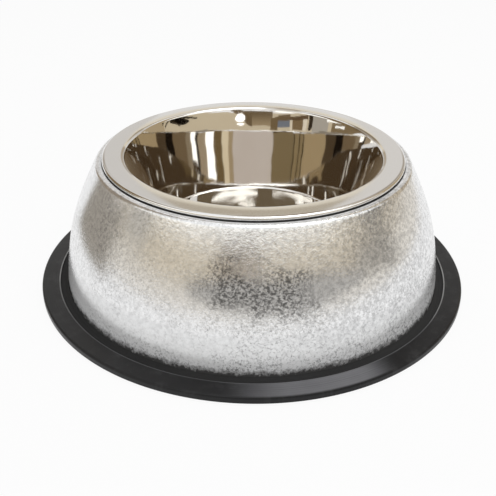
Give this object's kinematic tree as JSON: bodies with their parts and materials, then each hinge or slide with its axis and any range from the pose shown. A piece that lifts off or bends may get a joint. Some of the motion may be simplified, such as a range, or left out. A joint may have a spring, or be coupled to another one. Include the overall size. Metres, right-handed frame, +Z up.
{
  "type": "dog bowl",
  "caption": "Round polished stainless feeding bowl with a flat rolled rim, seated in a flared silver-finished metal stand on a wide black rubber ring.",
  "frame": {"origin": "on the bowl's axis, on the floor that the rubber ring stands on", "axes": "+Z up along the bowl's axis; X and Y are level and alike, because every piece is round"},
  "size_m": [0.28, 0.28, 0.0854],
  "materials": {
    "polished_stainless": "polished",
    "silver_leaf": "satin",
    "black_rubber": "matte"
  },
  "bodies": {
    "stand": {"outer_shell": "silver_leaf", "non_slip_ring": "black_rubber"},
    "bowl": {"feeding_bowl": "polished_stainless"}
  },
  "joints": [
    {"name": "bowl_lift", "type": "slide", "parent": "stand", "child": "bowl", "axis": [0, 0, 1], "range_m": [0, 0.075]}
  ]
}
